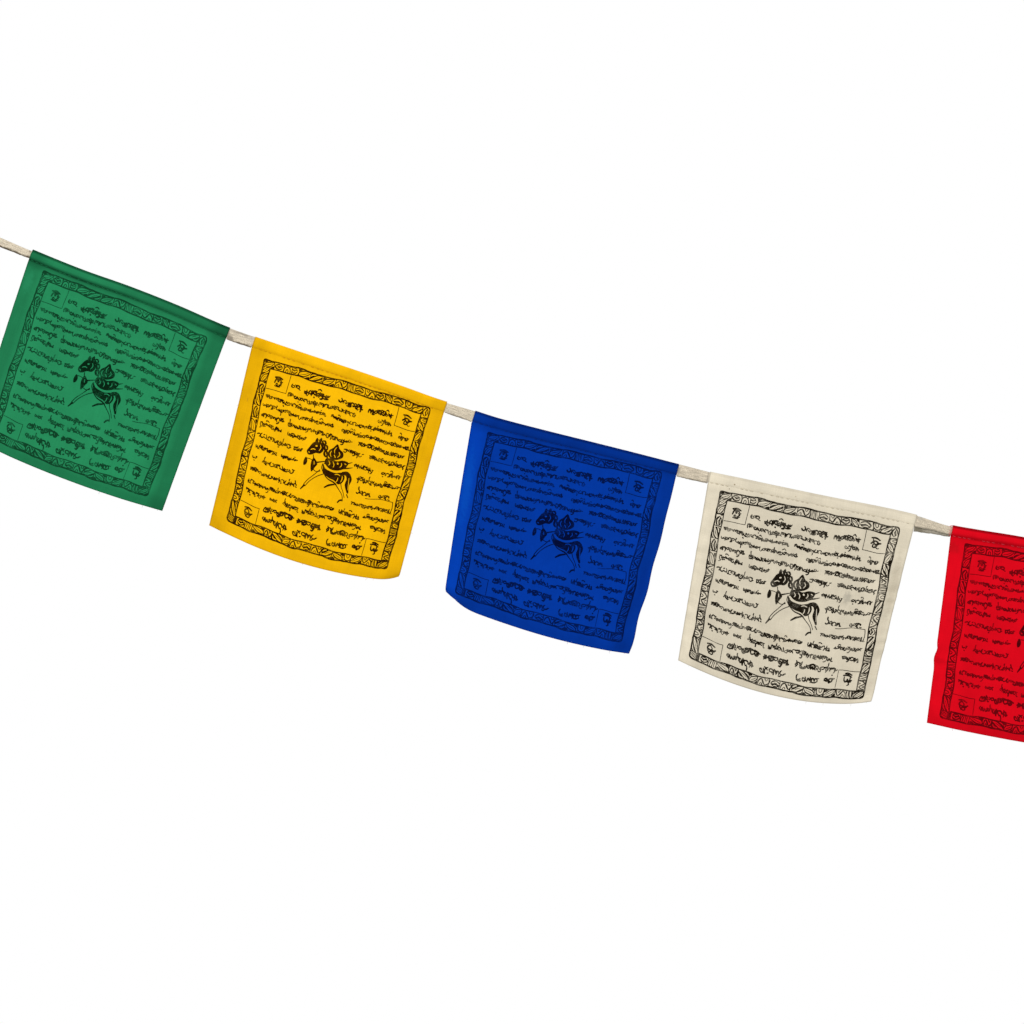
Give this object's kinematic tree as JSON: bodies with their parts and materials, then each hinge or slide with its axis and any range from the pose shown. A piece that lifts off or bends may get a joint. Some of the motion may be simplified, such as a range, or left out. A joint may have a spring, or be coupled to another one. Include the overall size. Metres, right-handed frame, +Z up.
{
  "type": "tibetan prayer flag string",
  "caption": "Printed cotton prayer flags sewn along one folded cotton tape, hung in a shallow sag, with a knotted loop at each end of the tape.",
  "frame": {"origin": "point where a hook or nail bears inside the upper loop, at the left as seen from the printed side", "axes": "+X along the string to the right, +Z up, -Y out of the printed faces towards the viewer"},
  "size_m": [0.9601, 0.017, 0.4068],
  "materials": {
    "cotton_green": "dyed plain-weave cotton, block printed",
    "cotton_yellow": "dyed plain-weave cotton, block printed",
    "cotton_blue": "dyed plain-weave cotton, block printed",
    "cotton_white": "unbleached plain-weave cotton, block printed",
    "cotton_red": "dyed plain-weave cotton, block printed",
    "tape_cotton": "woven cotton tape, folded lengthwise"
  },
  "bodies": {
    "root": {"flag_green": "cotton_green", "flag_yellow": "cotton_yellow", "flag_blue": "cotton_blue", "flag_white": "cotton_white", "flag_red": "cotton_red", "tape": "tape_cotton", "knot_left": "tape_cotton", "knot_right": "tape_cotton", "loop_left": "tape_cotton", "loop_right": "tape_cotton"}
  },
  "joints": []
}
